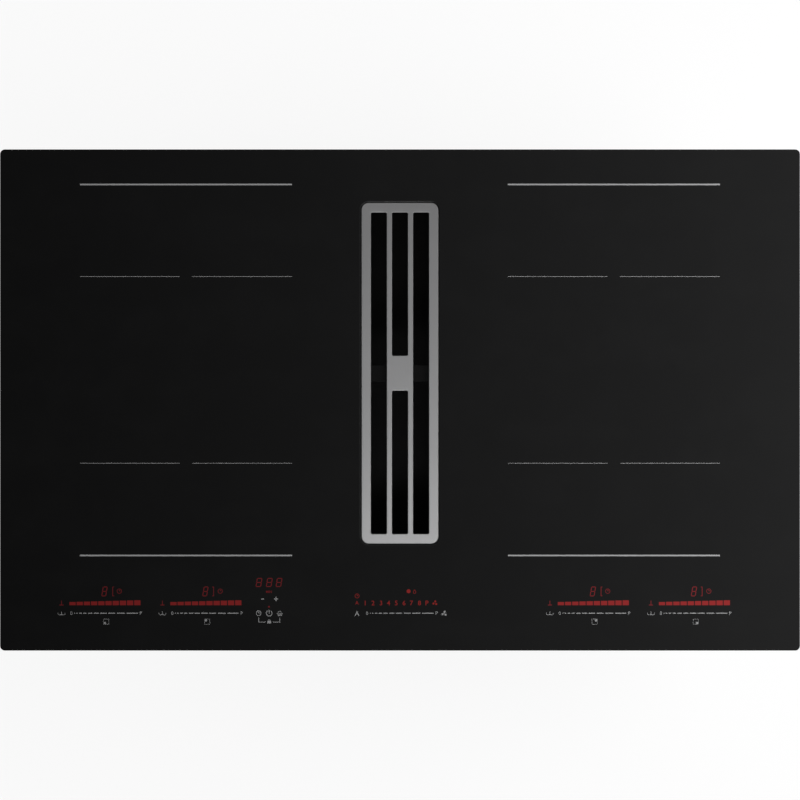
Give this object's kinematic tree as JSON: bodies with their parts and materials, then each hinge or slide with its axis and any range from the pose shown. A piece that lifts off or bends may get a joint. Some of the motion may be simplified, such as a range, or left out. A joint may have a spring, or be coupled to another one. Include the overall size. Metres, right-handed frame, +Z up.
{
  "type": "downdraft induction cooktop",
  "caption": "Built-in induction cooktop in black glass, with touch sliders along the front and an extractor that draws the vapour down through a central slotted grille.",
  "frame": {"origin": "under the centre of the glass, level with the lowest moulded edge of the tub and the duct", "axes": "+X to the cook's right, +Y to the back of the worktop, +Z up through the glass"},
  "size_m": [0.83, 0.52, 0.211],
  "materials": {
    "black_glass": "polished black glass ceramic",
    "black_foam": "closed-cell foam tape",
    "silicone": "matt black silicone",
    "galvanised_sheet": "zinc-coated sheet steel",
    "zinc_screw": "zinc plated",
    "green_board": "solder resist",
    "aluminium": "mill finish",
    "capacitor_can": "sleeved can",
    "choke_core": "enamelled copper winding",
    "black_plastic": "fine moulded grain",
    "dark_plastic": "glass-filled plastic",
    "natural_plastic": "natural moulded",
    "grey_plastic": "dishwasher-safe plastic",
    "mica": "pressed mica",
    "copper_wire": "stranded enamelled wire",
    "ferrite": "sintered ferrite",
    "display_block": "moulded light box",
    "black_steel": "black enamel",
    "mesh_metal": "black coated expanded metal",
    "grille_metal": "satin grey coat on cast aluminium",
    "shaft_steel": "ground steel",
    "motor_can": "e-coated can"
  },
  "bodies": {
    "cooktop": {"glass_plate": "black_glass", "worktop_seal": "black_foam", "bond_beads": "silicone", "support_frame": "galvanised_sheet", "base_tray": "galvanised_sheet", "side_screws": "zinc_screw", "power_boards": "green_board", "heatsinks": "aluminium", "capacitors": "capacitor_can", "chokes": "choke_core", "blower_housings": "black_plastic", "coil_plates": "aluminium", "mica_sheets": "mica", "coil_posts": "silicone", "coil_front_left": "copper_wire", "coil_rear_left": "copper_wire", "coil_front_right": "copper_wire", "coil_rear_right": "copper_wire", "coil_formers": "natural_plastic", "coil_ferrites": "ferrite", "coil_sensors": "silicone", "touch_carrier": "natural_plastic", "touch_boards": "green_board", "led_displays": "display_block", "well_collar": "black_plastic", "intake_tub": "black_plastic", "duct_casing": "black_plastic", "duct_plate": "black_plastic", "plenum_cover": "black_plastic", "outlet_spigot": "black_plastic", "casing_screws": "zinc_screw", "motor_stator": "motor_can", "motor_bearings": "shaft_steel", "motor_plate": "galvanised_sheet", "motor_grommets": "silicone", "motor_screws": "zinc_screw", "driver_housing": "black_plastic", "driver_lid": "black_plastic", "terminal_housing": "black_plastic", "terminal_lid": "black_plastic", "terminal_block": "natural_plastic", "clamp_bolts": "zinc_screw"},
    "overflow_basin": {"overflow_tray": "grey_plastic"},
    "filter_cassette": {"filter_frame": "black_steel", "filter_meshes": "mesh_metal", "filter_handle": "black_steel"},
    "grille_insert": {"grille": "grille_metal", "grille_pads": "silicone"},
    "fan_wheel": {"impeller": "dark_plastic", "fan_shaft": "shaft_steel"},
    "blower_left": {"blower_rotor_left": "black_plastic"},
    "blower_right": {"blower_rotor_right": "black_plastic"},
    "clamp_front_left": {"clamp_arm_front_left": "galvanised_sheet", "clamp_screw_front_left": "zinc_screw"},
    "clamp_rear_left": {"clamp_arm_rear_left": "galvanised_sheet", "clamp_screw_rear_left": "zinc_screw"},
    "clamp_front_right": {"clamp_arm_front_right": "galvanised_sheet", "clamp_screw_front_right": "zinc_screw"},
    "clamp_rear_right": {"clamp_arm_rear_right": "galvanised_sheet", "clamp_screw_rear_right": "zinc_screw"}
  },
  "joints": [
    {"name": "overflow_tray_lift", "type": "slide", "parent": "cooktop", "child": "overflow_basin", "axis": [0, 0, 1], "range_m": [0, 0.18]},
    {"name": "filter_lift", "type": "slide", "parent": "overflow_basin", "child": "filter_cassette", "axis": [0, 0, 1], "range_m": [0, 0.13]},
    {"name": "grille_lift", "type": "slide", "parent": "filter_cassette", "child": "grille_insert", "axis": [0, 0, 1], "range_m": [0, 0.06]},
    {"name": "fan_spin", "type": "hinge", "parent": "cooktop", "child": "fan_wheel", "pos_m": [-0.205, -0.03, 0.057], "axis": [0, 0, 1], "continuous": true},
    {"name": "blower_left_spin", "type": "hinge", "parent": "cooktop", "child": "blower_left", "pos_m": [-0.222, 0.1594, 0.164], "axis": [0, 0, 1], "continuous": true},
    {"name": "blower_right_spin", "type": "hinge", "parent": "cooktop", "child": "blower_right", "pos_m": [0.222, 0.1594, 0.164], "axis": [0, 0, 1], "continuous": true},
    {"name": "clamp_front_left_swing", "type": "hinge", "parent": "cooktop", "child": "clamp_front_left", "pos_m": [-0.345, -0.201, 0.14775], "axis": [0, 0, 1], "range_deg": [0, 90]},
    {"name": "clamp_rear_left_swing", "type": "hinge", "parent": "cooktop", "child": "clamp_rear_left", "pos_m": [-0.345, 0.201, 0.14775], "axis": [0, 0, -1], "range_deg": [0, 90]},
    {"name": "clamp_front_right_swing", "type": "hinge", "parent": "cooktop", "child": "clamp_front_right", "pos_m": [0.345, -0.201, 0.14775], "axis": [0, 0, -1], "range_deg": [0, 90]},
    {"name": "clamp_rear_right_swing", "type": "hinge", "parent": "cooktop", "child": "clamp_rear_right", "pos_m": [0.345, 0.201, 0.14775], "axis": [0, 0, 1], "range_deg": [0, 90]}
  ]
}
